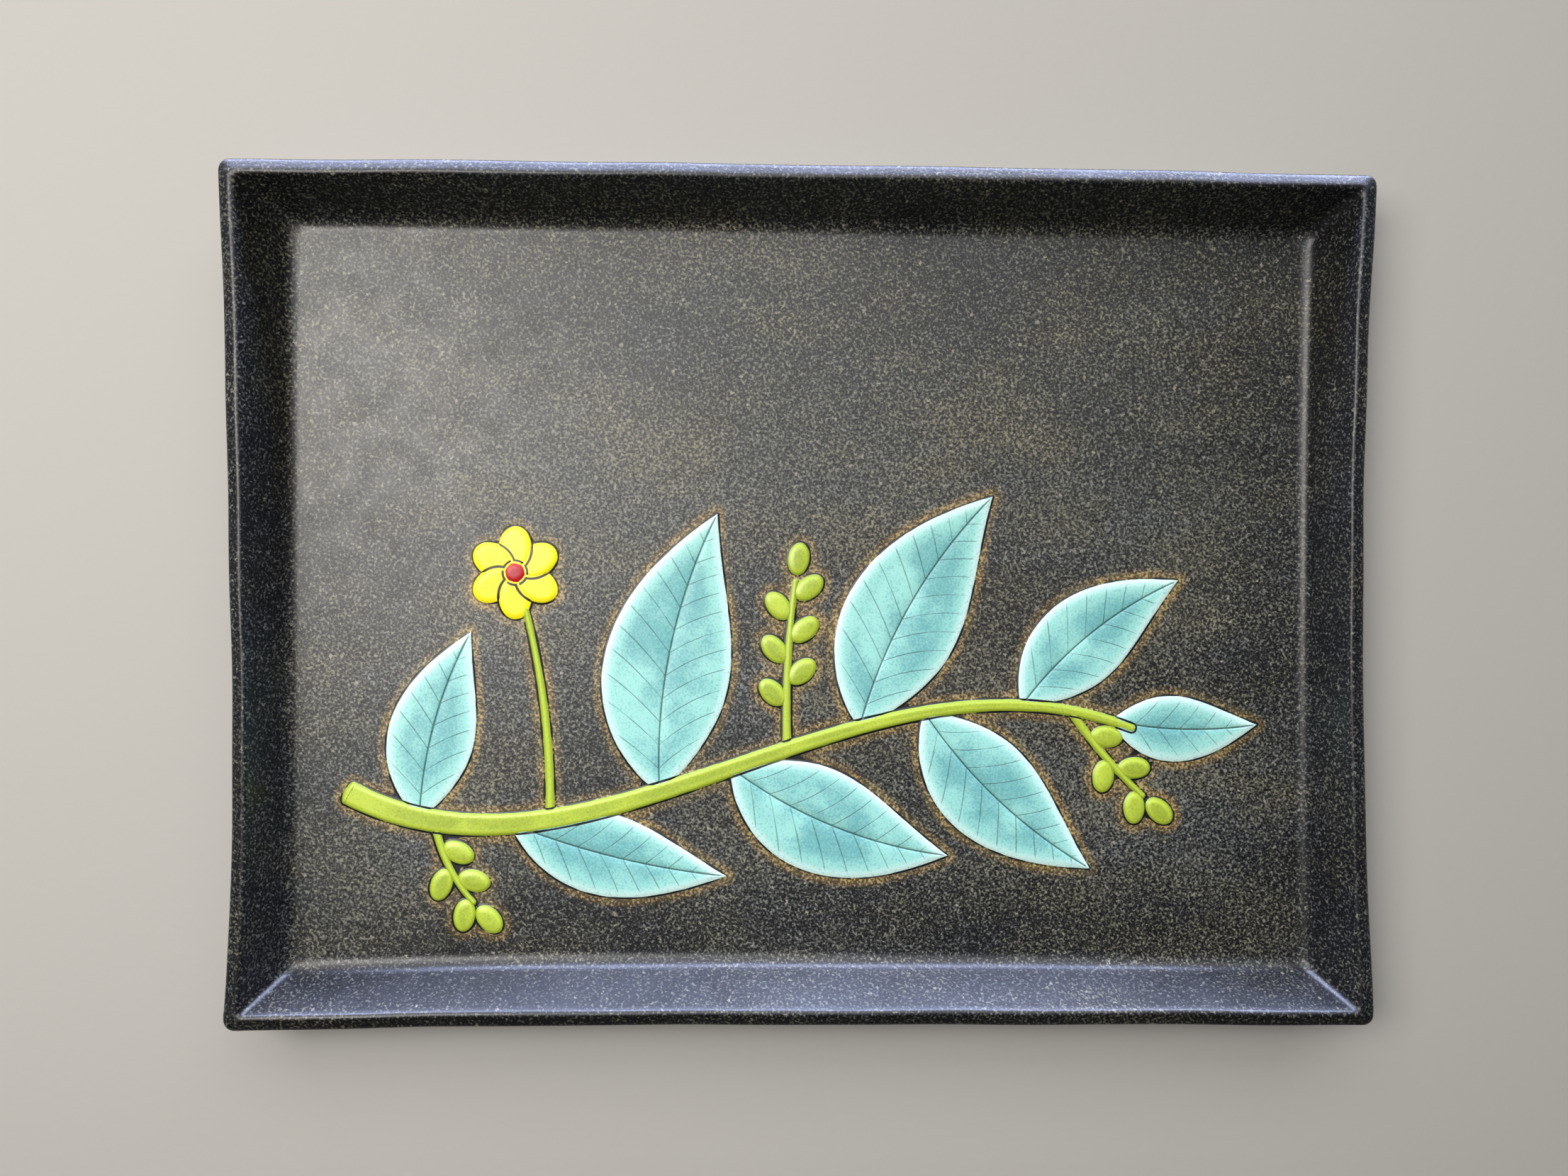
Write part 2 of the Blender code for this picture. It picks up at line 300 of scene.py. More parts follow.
class BranchShape(bpy.types.PropertyGroup):
    """Sizes of the branch in low relief on the floor."""

    stem_start: length_property("Stem start", "Width of the stem at its cut end", 9.0)
    stem_tip: length_property("Stem tip", "Width of the stem at its tip", 3.5)
    stalk_start: length_property("Stalk start", "Width of a stalk where it leaves the stem", 3.4)
    stalk_tip: length_property("Stalk tip", "Width of a stalk at its tip", 2.2)
    stem_height: length_property("Stem height", "Of the stem above the floor", 0.62)
    stalk_height: length_property("Stalk height", "Of a stalk above the floor", 0.5)
    leaf_height: length_property("Leaf height", "Of a leaf above the floor", 0.42)
    midrib_depth: length_property("Midrib depth", "Of the groove along a leaf's middle", 0.28)
    berry_length: length_property("Berry length", "Of one berry", 12.0)
    berry_width: length_property("Berry width", "Of one berry", 8.0)
    berry_height: length_property("Berry height", "Of a berry above the floor", 0.8)
    petals: IntProperty(name="Petals", description="Petals round the blossom", default=6, min=3, max=12)
    petal_length: length_property("Petal length", "Of one petal", 16.0)
    petal_width: length_property("Petal width", "Of one petal", 12.0)
    petal_height: length_property("Petal height", "Of a petal above the floor", 0.65)
    centre_radius: length_property("Centre radius", "Of the blossom's round centre", 4.4)
    centre_height: length_property("Centre height", "Of the blossom's centre above the floor", 1.05)


class GlazeLook(bpy.types.PropertyGroup):
    """Colours and gloss of the glazes and the bare clay."""

    dark: colour_property("Dark glaze", "Ground colour of the tray", 12, 12, 15)
    dark_mottle: colour_property("Cool mottle", "Grey clouding in the dark glaze", 124, 128, 123)
    warm_mottle: colour_property("Warm mottle", "Brown-grey clouding in the dark glaze", 137, 134, 114)
    fleck: colour_property("Fleck", "Small light specks in the dark glaze", 158, 154, 134)
    warm_fleck: colour_property("Warm fleck", "Specks close to the branch", 178, 146, 98)
    warm_dark: colour_property("Warm ground", "Ground colour close to the branch", 28, 21, 16)
    ochre: colour_property("Ochre", "Where glaze breaks thin beside an outline", 184, 162, 104)
    line: colour_property("Line", "Incised outlines", 22, 22, 24)
    clay: colour_property("Clay", "Bare fired clay of the base", 139, 118, 96)
    turquoise_edge: colour_property("Turquoise edge", "Thick glaze beside an outline", 206, 238, 232)
    turquoise: colour_property("Turquoise", "Body of the leaves", 156, 216, 204)
    turquoise_deep: colour_property("Turquoise deep", "Grain in the middle of a leaf", 82, 152, 156)
    lime_edge: colour_property("Lime edge", "Edge of stem and berries", 148, 172, 44)
    lime: colour_property("Lime", "Body of stem and berries", 184, 203, 68)
    lime_deep: colour_property("Lime deep", "Grain in the lime glaze", 132, 152, 46)
    yellow: colour_property("Yellow", "Petals", 250, 238, 30)
    yellow_deep: colour_property("Yellow deep", "Grain in the yellow glaze", 214, 196, 24)
    red: colour_property("Red", "Blossom's centre", 198, 14, 30)
    red_deep: colour_property("Red deep", "Edge and grain of the red glaze", 128, 8, 20)
    dark_roughness: FloatProperty(
        name="Dark roughness", description="Of the dark glaze", default=0.38, min=0, max=1
    )
    dark_ior: FloatProperty(
        name="Dark IOR", description="Of the dark, iron-rich glaze", default=1.5, min=1, max=3
    )
    bright_roughness: FloatProperty(
        name="Bright roughness", description="Of the coloured glazes", default=0.34, min=0, max=1
    )


class StageSetup(bpy.types.PropertyGroup):
    """Camera, lights and floor of the stage."""

    camera_place: FloatVectorProperty(
        name="Camera place", description="In the tray's frame", default=(-0.01786, 0.00588, 0.4324),
        subtype="TRANSLATION", unit="LENGTH",
    )
    camera_turn: FloatVectorProperty(
        name="Camera turn", description="From looking straight down",
        default=[math.radians(angle) for angle in (-0.362, -1.506, 0.229)], subtype="EULER", unit="ROTATION",
    )
    lens: FloatProperty(name="Lens", description="Focal length on a 36 mm wide sensor", default=27.03)
    ground: colour_property("Ground", "Pale matt floor of the stage", 178, 176, 171)
    sky: FloatVectorProperty(
        name="Sky", description="Even light from all round", default=(0.045, 0.047, 0.05, 1.0),
        subtype="COLOR", size=4, min=0, max=1,
    )
    key_radiance: FloatProperty(name="Key radiance", description="Of the softbox overhead", default=10.0)
    fill_radiance: FloatProperty(name="Fill radiance", description="Of the wide panel overhead", default=2.4)
    sky_panel_radiance: FloatProperty(name="Sky radiance", description="Of the high far panel", default=2.6)
    window_radiance: FloatProperty(name="Window radiance", description="Of the low far panel", default=50.0)


def waves(x, y, lengths, seed):
    """Slow waves that run across the tray in several directions, between about -1 and 1."""
    random = np.random.default_rng(seed)
    total = np.zeros_like(x)
    for length in lengths:
        heading, phase = random.uniform(0, math.tau, 2)
        total += np.sin(math.tau * (x * math.cos(heading) + y * math.sin(heading)) / length + phase)
    return total / len(lengths)


def floor_height(x, y, shape):
    """Height of the floor's upper surface at any point of it."""
    return shape.slab + shape.floor_wave * waves(x, y, FLOOR_WAVES, FLOOR_SEED)


def bow(share, peak):
    """0 at both ends of a side and 1 at its peak."""
    return np.sin(np.pi * np.clip(share, 0, 1) ** (math.log(0.5) / math.log(peak)))


def hand_shaped(x, y, rise, shape):
    """Where points of the true, straight-sided tray lie on the bowed and pulled one."""
    u = np.clip(2 * x / (shape.floor_width + (shape.rim_width - shape.floor_width) * rise), -1, 1)
    v = np.clip(2 * y / (shape.floor_depth + (shape.rim_depth - shape.floor_depth) * rise), -1, 1)
    moved = [x.copy(), y.copy()]
    for axis, here, along, sides in ((0, u, v, ("left", "right")), (1, v, u, ("near", "far"))):
        for sign, side in zip((-1, 1), sides):
            floor_bow, rim_bow, peak = BOWS[side]
            inwards = (floor_bow + (rim_bow - floor_bow) * rise) * bow((along + 1) / 2, peak)
            moved[axis] -= np.where(here * sign > 0, here**3 * inwards, 0)
    for (sign_u, sign_v), pull in CORNER_PULLS.items():
        share = rise * (1 + sign_u * u) * (1 + sign_v * v) / 4
        moved[0] += pull[0] * share
        moved[1] += pull[1] * share
    return moved


def graded_line(half):
    """Places from -half to half about one cell apart, closer together towards both ends."""
    ends = END_CELL * np.arange(END_CELLS)
    inner = half - END_CELL * END_CELLS
    middle = np.linspace(-inner, inner, 2 * round(inner / FLOOR_CELL) + 1)
    return np.concatenate((ends - half, middle, half - ends[::-1]))


def wall_profile(shape):
    """Run, height and rise of each ring from the floor's edge up the wall, over the lip and down the outside
    to the base, with its length up the wall and its depth into the slab as shares."""
    run_to_rim = (shape.rim_width - shape.floor_width) / 2
    slope = math.atan2(shape.wall_height, run_to_rim)
    arc = shape.fold_radius * slope
    end = arc + (shape.wall_height - shape.fold_radius * (1 - math.cos(slope))) / math.sin(slope)
    rounding = shape.lip_rounding
    upwards = np.concatenate(
        (np.linspace(0, arc, FOLD_STEPS + 1), np.linspace(arc, end - rounding, WALL_STEPS + 1)[1:])
    )
    quarter = np.linspace(0, math.pi / 2, LIP_STEPS + 1)[1:]
    lip = np.linspace(rounding, shape.slab - rounding, LIP_FLAT_STEPS + 1)[1:]
    up = np.concatenate((
        upwards,
        end - rounding * (1 - np.sin(quarter)),
        np.full(len(lip), end),
        end - rounding * (1 - np.cos(quarter)),
        upwards[-2::-1],
    ))
    deep = np.concatenate((
        np.zeros(len(upwards)),
        rounding * (1 - np.cos(quarter)),
        lip,
        shape.slab - rounding * (1 - np.sin(quarter)),
        np.full(len(upwards) - 1, shape.slab),
    ))
    turn = np.minimum(up / shape.fold_radius, slope)
    past = np.maximum(up - arc, 0)
    run = shape.fold_radius * (np.sin(turn) - math.tan(slope / 2)) + past * math.cos(slope)
    height = shape.fold_radius * (1 - np.cos(turn)) + past * math.sin(slope)
    rise = height / shape.wall_height
    return run + deep * np.sin(turn), height - deep * np.cos(turn), rise, up / end, deep / shape.slab


def rounded_corners(x, y, half_x, half_y, radius):
    """Pulls the points near the corners of a rectangle onto arcs."""
    to_end_x = half_x - np.abs(x)
    to_end_y = half_y - np.abs(y)
    on_row = to_end_y <= to_end_x
    along = np.maximum(to_end_x, to_end_y)
    angle = np.clip(1 - along / np.maximum(radius, SMALL), 0, 1) * math.pi / 4
    shift_long = radius * (1 - np.sin(angle))
    shift_short = radius * (1 - np.cos(angle))
    near = along < radius
    new_x = half_x - np.where(on_row, shift_long, shift_short)
    new_y = half_y - np.where(on_row, shift_short, shift_long)
    return np.where(near, np.copysign(new_x, x), x), np.where(near, np.copysign(new_y, y), y)


def quads(grid):
    """The four-sided faces between the rows of a grid of point numbers."""
    corners = (grid[:-1, :-1], grid[:-1, 1:], grid[1:, 1:], grid[1:, :-1])
    return np.stack(corners, -1).reshape(-1, 4).tolist()


def new_mesh(name, points, faces, values):
    """A smooth mesh with one named number per point for each of the values."""
    mesh = bpy.data.meshes.new(name)
    mesh.from_pydata(points.tolist(), [], faces)
    mesh.polygons.foreach_set("use_smooth", [True] * len(mesh.polygons))
    for label, numbers in values.items():
        layer = mesh.attributes.new(label, "FLOAT", "POINT")
        layer.data.foreach_set("value", np.asarray(numbers, np.float32))
    mesh.validate()
    mesh.update()
    return mesh


def add_piece(name, mesh, material):
    """Puts a piece on the tray's body."""
    piece = bpy.data.objects.new(name, mesh)
    bpy.context.scene.collection.objects.link(piece)
    piece.data.materials.append(material)
    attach(piece, "root")
    return piece


def tray_mesh(shape, outlines):
    """The whole tray as one closed surface: a fine grid for the floor and rings round it to the base."""
    run, height, rise, up, deep = wall_profile(shape)
    half_x = shape.floor_width / 2 + run
    half_y = shape.floor_depth / 2 + run
    xs = graded_line(half_x[0])
    ys = graded_line(half_y[0])
    grid = np.arange(len(xs) * len(ys)).reshape(len(ys), len(xs))
    border = np.concatenate((grid[0, :-1], grid[:-1, -1], grid[-1, :0:-1], grid[:0:-1, 0]))
    floor_x, floor_y = (side.ravel() for side in np.meshgrid(xs, ys))
    share_x = floor_x[border] / half_x[0]
    share_y = floor_y[border] / half_y[0]

    inset = np.minimum(half_x[0] - np.abs(floor_x), half_y[0] - np.abs(floor_y))
    corner = np.where(floor_y > 0, shape.far_corner, shape.near_corner)
    floor_x, floor_y = rounded_corners(
        floor_x, floor_y, half_x[0] - inset, half_y[0] - inset, np.maximum(corner - inset, 0)
    )
    ring_x, ring_y = [], []
    for index in range(1, len(run)):
        radius = corner[border] * (1 - up[index]) + shape.rim_corner * up[index]
        radius += shape.outer_corner * deep[index]
        x, y = rounded_corners(
            share_x * half_x[index], share_y * half_y[index], half_x[index], half_y[index], radius
        )
        ring_x.append(x)
        ring_y.append(y)
    count = len(border)
    rings = len(run) - 1
    x = np.concatenate((floor_x, *ring_x))
    y = np.concatenate((floor_y, *ring_y))

    def per_ring(values):
        return np.concatenate((np.full(len(floor_x), values[0]), np.repeat(values[1:], count)))

    z, rise, up, deep = (per_ring(values) for values in (height, rise, up, deep))
    x, y = hand_shaped(x, y, rise, shape)
    low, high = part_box("tray")
    x += (low.x + high.x - x.min() - x.max()) / 2
    y += (low.y + high.y - y.min() - y.max()) / 2

    inside = 1 - deep
    z += shape.slab + (floor_height(x, y, shape) - shape.slab) * (1 - rise) * inside
    uneven = shape.wobble * rise
    outside = OUTSIDE_WOBBLE * (deep - 0.5)
    x += uneven * (waves(x, y, WALL_WAVES[0], WALL_SEEDS[0]) + outside)
    y += uneven * (waves(x, y, WALL_WAVES[1], WALL_SEEDS[1]) + outside)
    z += uneven * LIP_WOBBLE * waves(x, y, WALL_WAVES[2], WALL_SEEDS[2])
    points = np.stack((x, y, z), 1)

    loops = [border] + [len(floor_x) + ring * count + np.arange(count) for ring in range(rings)]
    loops = np.array([np.append(loop, loop[0]) for loop in loops])
    faces = quads(grid) + quads(loops.T)
    faces.append(loops[-1, -2::-1].tolist())

    inset_mm = np.concatenate((inset / MM, -np.repeat(np.arange(1, rings + 1), count)))
    design = np.full(len(x), FAR_MM)
    on_floor = (rise < 0.5) & (deep < 0.01)
    design[on_floor] = distance_mm(points[on_floor, :2], outlines)
    foot = np.where(deep > 0.99, up * shape.wall_height / MM, FAR_MM)
    return new_mesh("tray_body", points, faces, {"design_mm": design, "inset_mm": inset_mm, "foot_mm": foot})


def distance_mm(points, outlines):
    """Millimetres from each point to the nearest outline, negative inside one."""
    nearest = np.full(len(points), FAR_MM)
    for outline in outlines:
        low, high = outline.min(0) - NEAR_OUTLINE, outline.max(0) + NEAR_OUTLINE
        close = np.flatnonzero(((points > low) & (points < high)).all(1))
        if not len(close):
            continue
        here = points[close][:, None]
        start, side = outline, np.roll(outline, -1, 0) - outline
        share = ((here - start) * side).sum(2) / np.maximum((side**2).sum(1), TINY)
        foot = start + np.clip(share, 0, 1)[..., None] * side
        away = np.sqrt(((here - foot) ** 2).sum(2)).min(1)
        stop = start + side
        crosses = (start[:, 1] > here[..., 1]) != (stop[:, 1] > here[..., 1])
        rise = np.where(side[:, 1] == 0, TINY, side[:, 1])
        left = here[..., 0] < start[:, 0] + (here[..., 1] - start[:, 1]) * side[:, 0] / rise
        inside = (crosses & left).sum(1) % 2 == 1
        nearest[close] = np.minimum(nearest[close], np.where(inside, -away, away) / MM)
    return nearest


# One part of the relief: a middle line with a half width all along it, how high it stands, how many
# millimetres its edge takes to round over, the depth of its middle groove, and how much one side is higher
Pad = namedtuple("Pad", "course along half_width height reach groove tilt")


def bent_course(start, heading, length, bend):
    """A line that turns evenly by bend radians over its length, as a function of the length along it."""
    curl = bend / length if abs(bend) > SMALL else SMALL

    def at(along):
        turned = heading + curl * along
        x = start[0] + (np.sin(turned) - math.sin(heading)) / curl
        y = start[1] - (np.cos(turned) - math.cos(heading)) / curl
        return x, y, turned

    return at


def stem_at(share):
    """Points and directions of the main stem at shares of its way."""
    share = np.atleast_1d(np.asarray(share, float))[:, None]
    a, b, c, d = STEM_POINTS
    rest = 1 - share
    points = rest**3 * a + 3 * rest**2 * share * b + 3 * rest * share**2 * c + share**3 * d
    course = rest**2 * (b - a) + 2 * rest * share * (c - b) + share**2 * (d - c)
    return points, np.arctan2(course[:, 1], course[:, 0])


def stem_course():
    """The main stem as a function of the length along it, with that length."""
    points, headings = stem_at(np.linspace(0, 1, STEM_SAMPLES))
    steps = np.sqrt((np.diff(points, axis=0) ** 2).sum(1))
    lengths = np.concatenate(([0], np.cumsum(steps)))

    def at(along):
        inside = np.clip(along, 0, lengths[-1])
        heading = np.interp(inside, lengths, headings)
        x = np.interp(inside, lengths, points[:, 0]) + (along - inside) * np.cos(heading)
        y = np.interp(inside, lengths, points[:, 1]) + (along - inside) * np.sin(heading)
        return x, y, heading

    return at, lengths[-1]


def eased(length, steps):
    """Lengths from 0 to the whole, close together at both ends."""
    return length * (1 - np.cos(np.linspace(EASE_START, math.pi - EASE_START, steps + 1))) / 2


def band(course, length, start_width, end_width, height):
    """A stem or stalk with rounded ends."""
    body = np.linspace(0, length, LONG_STEPS if length > LONG_STEM else LEAF_STEPS)
    ends = eased(min(start_width, end_width), BAND_END_STEPS)[: BAND_END_STEPS // 2 + 1]
    along = np.concatenate((ends, body[(body > ends[-1]) & (body < length - ends[-1])], length - ends[::-1]))
    half = (start_width + (end_width - start_width) * along / length) / 2
    to_end = np.clip(np.minimum(along, length - along) / (0.5 * min(start_width, end_width)), 0, 1)
    return Pad(course, along, half * np.sqrt(1 - (1 - to_end) ** 2), height, STEM_ROUNDING, 0, 0)


def oval(middle, size, heading, height, reach, tilt=0):
    """A berry, petal or round centre that lies along the heading."""
    start = middle - np.array((math.cos(heading), math.sin(heading))) * size[0] / 2
    along = eased(size[0], OVAL_STEPS)
    half = size[1] / 2 * np.sqrt(1 - (2 * along / size[0] - 1) ** 2)
    return Pad(bent_course(start, heading, size[0], 0), along, half, height, reach, 0, tilt)


def stem_pad(branch):
    course, length = stem_course()
    return band(course, length, branch.stem_start, branch.stem_tip, branch.stem_height)


def leaf_pads(branch):
    pads = []
    for share, angle, length, width, bend in LEAVES:
        start, heading = stem_at(share)
        course = bent_course(start[0], heading[0] + math.radians(angle), length, math.radians(bend))
        along = eased(length, LEAF_STEPS)
        half = width / 2 * np.sin(math.pi * (along / length) ** LEAF_FULLNESS)
        pads.append(Pad(course, along, half, branch.leaf_height, LEAF_ROUNDING, branch.midrib_depth, 0))
    return pads


def stalk(branch, share, angle, length, bend):
    """A thin stalk that leaves the stem, with its course and the direction at its start."""
    start, heading = stem_at(share)
    heading = heading[0] + math.radians(angle)
    course = bent_course(start[0], heading, length, math.radians(bend))
    pad = band(course, length, branch.stalk_start, branch.stalk_tip, branch.stalk_height)
    return pad, course, heading


def spray_pads(branch):
    """Each spray's stalk and its berries, on alternate sides and one at the tip."""
    sprays = []
    for share, angle, length, bend, count in SPRAYS:
        pad, course, heading = stalk(branch, share, angle, length, bend)
        berries = []
        for berry in range(count):
            at = 1 - BERRY_SPREAD * berry / (count - 1)
            side = 0 if berry == 0 else (-1) ** berry
            lean = heading + math.radians(bend) * at + side * BERRY_LEAN
            x, y, _ = course(length * round(at * BERRY_ROOTS) / BERRY_ROOTS)
            reach = BERRY_REACH * branch.berry_length
            middle = np.array((x + reach * math.cos(lean), y + reach * math.sin(lean)))
            size = (branch.berry_length, branch.berry_width)
            berries.append(oval(middle, size, lean, branch.berry_height, BERRY_ROUNDING))
        sprays.append((pad, berries))
    return sprays


def blossom_pads(branch):
    """The blossom's stalk, its petals and its centre."""
    pad, course, _ = stalk(branch, *BLOSSOM_STALK)
    x, y, _ = course(BLOSSOM_STALK[2])
    middle = np.array((x, y))
    petals = []
    for petal in range(branch.petals):
        heading = math.tau * (petal + 0.5) / branch.petals
        out = np.array((math.cos(heading), math.sin(heading)))
        place = middle + out * PETAL_REACH * branch.petal_length
        size = (branch.petal_length, branch.petal_width)
        petals.append(oval(place, size, heading, branch.petal_height, PETAL_ROUNDING, PETAL_TILT))
    across = 2 * branch.centre_radius
    return pad, petals, oval(middle, (across, across), 0, branch.centre_height, CENTRE_ROUNDING)


def outline(pad):
    """The pad's outline as seen from above, anticlockwise."""
    x, y, heading = pad.course(pad.along)
    across = np.stack((-np.sin(heading), np.cos(heading)), 1) * pad.half_width[:, None]
    middle = np.stack((x, y), 1)
    return np.concatenate((middle - across, (middle + across)[::-1]))


def pad_rows(pad):
    """Length along and distance across for every point of a pad's upper side: one column for each place
    along it, from the skirt on its left to the skirt on its right."""
    slant = np.gradient(pad.half_width, pad.along)
    stretch = np.sqrt(1 + slant**2)
    narrow = np.minimum(1, pad.half_width / (NARROW_MM * MM))
    alongs, acrosses = [], []
    for row in EDGE_ROWS:
        inwards = row * MM * (narrow if row > 0 else 1)
        alongs.append(pad.along + inwards * slant / stretch)
        acrosses.append(pad.half_width - inwards / stretch)
    middle = pad.along + EDGE_ROWS[-1] * MM * narrow * slant / stretch
    last = MIDDLE_ROWS[0] * MM * narrow
    for step in range(1, BETWEEN_ROWS + 1):
        alongs.append(middle)
        share = step / (BETWEEN_ROWS + 1)
        acrosses.append(acrosses[len(EDGE_ROWS) - 1] * (1 - share) + last * share)
    for row in MIDDLE_ROWS:
        alongs.append(middle)
        acrosses.append(row * MM * narrow)
    alongs = np.array(alongs + [middle] + alongs[::-1])
    acrosses = np.array(acrosses + [np.zeros(len(middle))] + [-across for across in acrosses[::-1]])
    skirt = END_REACH * EDGE_ROWS[0] * MM
    tips = np.linspace(1, -1, len(alongs))[:, None] * END_HALF
    first = np.full((len(alongs), 1), pad.along[0] + skirt)
    final = np.full((len(alongs), 1), pad.along[-1] - skirt)
    return np.hstack((first, alongs, final)), np.hstack((tips, acrosses, tips))


def pad_parts(pad, over, shape, first_point):
    """Points, faces and shader values of one closed relief pad. The outlines over it are where other pads
    lie on top of it."""
    along, across = (grid.T for grid in pad_rows(pad))
    x, y, heading = pad.course(along)
    x, y = x - across * np.sin(heading), y + across * np.cos(heading)
    columns, rows = x.shape
    flat = np.stack((x.ravel(), y.ravel()), 1)
    inside = -distance_mm(flat, [outline(pad)]).reshape(x.shape)
    share = np.clip(inside / pad.reach, 0, 1)
    half = np.maximum(pad.half_width.max(), MM)
    lifted = pad.height * (1 - (1 - share) ** EDGE_ROUNDNESS) * (1 - pad.tilt * across / half)
    groove = pad.groove * np.exp(-((across / GROOVE_HALF) ** 2)) * np.clip(inside / GROOVE_FADE_MM, 0, 1)
    skirt = np.interp(inside, EDGE_ROWS[: len(SKIRT_HEIGHTS)], SKIRT_HEIGHTS)
    top = floor_height(x, y, shape) + skirt + lifted - groove
    points = np.stack((x.ravel(), y.ravel(), top.ravel()), 1)

    number = first_point + np.arange(columns * rows).reshape(columns, rows)
    left, right = number[:, 0], number[:, -1]
    below = first_point + columns * rows + np.arange(2 * columns).reshape(2, columns)
    sunk = np.concatenate((np.stack((x[:, 0], y[:, 0]), 1), np.stack((x[:, -1], y[:, -1]), 1)))
    depth = np.full((2 * columns, 1), shape.slab - PAD_SINK)
    points = np.concatenate((points, np.hstack((sunk, depth))))
    faces = [
        *quads(number),
        *quads(np.stack((left, below[0]))),
        *quads(np.stack((right, below[1]))[:, ::-1]),
        *quads(below),
    ]
    faces.append([*number[0, ::-1].tolist(), int(below[0, 0]), int(below[1, 0])])
    faces.append([*number[-1].tolist(), int(below[1, -1]), int(below[0, -1])])

    values = {
        "edge_mm": inside,
        "along_mm": along / MM,
        "across_mm": across / MM,
        "join_mm": distance_mm(flat, over),
    }
    low = {"edge_mm": EDGE_ROWS[0], "along_mm": 0, "across_mm": 0, "join_mm": FAR_MM}
    values = {
        label: np.concatenate((numbers.ravel(), np.full(2 * columns, low[label])))
        for label, numbers in values.items()
    }
    return points, faces, values


def relief_mesh(name, pads, shape):
    """One mesh of several pads and the outlines that lie over each."""
    parts = []
    count = 0
    for pad, over in pads:
        parts.append(pad_parts(pad, over, shape, count))
        count += len(parts[-1][0])
    points = np.concatenate([part[0] for part in parts])
    faces = [face for part in parts for face in part[1]]
    values = {label: np.concatenate([part[2][label] for part in parts]) for label in parts[0][2]}
    return new_mesh(name, points, faces, values)


def add_relief(name, pads, material):
    """Puts a piece made of several pads on the tray, each given with the outlines that lie over it."""
    add_piece(name, relief_mesh(name, pads, bpy.context.scene.tray_shape), material)


class Graph:
    """Adds nodes to a node tree, links what is handed to them and lays them out from left to right."""

    def __init__(self, tree):
        self.tree = tree
        self.place = None
        self.depth = {}

    def add(self, kind, links=None, **settings):
        node = self.tree.nodes.new(kind)
        for name, value in settings.items():
            setattr(node, name, value)
        depth = 0
        for name, value in (links or {}).items():
            if isinstance(value, bpy.types.NodeSocket):
                self.tree.links.new(value, node.inputs[name])
                depth = max(depth, self.depth.get(value.node.name, 0) + 1)
            else:
                node.inputs[name].default_value = value
        self.depth[node.name] = depth
        row = sum(1 for other in self.depth.values() if other == depth)
        node.location = (220 * depth, -190 * row)
        return node

    def math(self, operation, *values, clamp=False):
        return self.add(
            "ShaderNodeMath", dict(enumerate(values)), operation=operation, use_clamp=clamp
        ).outputs[0]

    def times(self, first, second):
        return self.math("MULTIPLY", first, second)

    def scaled(self, value, factor, offset=0.0):
        """The value times the factor, plus the offset."""
        return self.math("MULTIPLY_ADD", value, factor, offset)

    def vector(self, operation, first, second, socket=1):
        """Vector math on the first value and on the second, which goes to that socket."""
        return self.add("ShaderNodeVectorMath", {0: first, socket: second}, operation=operation).outputs[0]

    def remap(self, value, low, high, to_low=0.0, to_high=1.0):
        """Rises smoothly from one value to the other while the first goes from low to high."""
        links = {"Value": value, "From Min": low, "From Max": high, "To Min": to_low, "To Max": to_high}
        return self.add("ShaderNodeMapRange", links, interpolation_type="SMOOTHSTEP").outputs["Result"]

    def mix(self, share, first, second):
        """A colour between the first and the second."""
        links = {"Factor": share, MIX_FIRST: first, MIX_SECOND: second}
        return self.add("ShaderNodeMix", links, data_type="RGBA").outputs[MIX_RESULT]

    def attribute(self, name):
        return self.add("ShaderNodeAttribute", attribute_name=name).outputs["Fac"]

    def noise(self, place, size_mm, detail, seed=0.0):
        seed = seed if isinstance(seed, bpy.types.NodeSocket) else (seed,) * 3
        links = {
            "Vector": self.vector("ADD", place, seed),
            "Scale": self.math("DIVIDE", MM_IN_A_METRE, size_mm),
            "Detail": detail,
        }
        return self.add("ShaderNodeTexNoise", links).outputs["Fac"]

    def use(self, tree, **links):
        """The outputs of a node group whose inputs are set or linked, with their names in lower case. Its
        pattern is drawn by the graph's own place where no other is given."""
        links = {"place": self.place, **links}
        links = {name.replace("_", " ").capitalize(): value for name, value in links.items()}
        return self.add("ShaderNodeGroup", links, node_tree=tree).outputs

    def mask(self, tree, **links):
        return self.use(tree, **links)["Mask"]


def shared_group(name, inputs, outputs=("Mask",)):
    """Turns a function that fills a graph and gives its results into one that gives the node group of that
    name, which is made once and shared by the materials."""

    def decorate(fill):
        def group():
            if name in bpy.data.node_groups:
                return bpy.data.node_groups[name]
            tree = bpy.data.node_groups.new(name, "ShaderNodeTree")
            for label, value in inputs.items():
                kind = "NodeSocketVector" if value is None else "NodeSocketFloat"
                socket = tree.interface.new_socket(name=label, in_out="INPUT", socket_type=kind)
                if value is not None:
                    socket.default_value = value
            for label in outputs:
                tree.interface.new_socket(name=label, in_out="OUTPUT", socket_type="NodeSocketFloat")
            graph = Graph(tree)
            results = fill(graph, graph.add("NodeGroupInput").outputs)
            graph.add("NodeGroupOutput", dict(zip(outputs, results)))
            return tree

        group.__doc__ = fill.__doc__
        return group

    return decorate


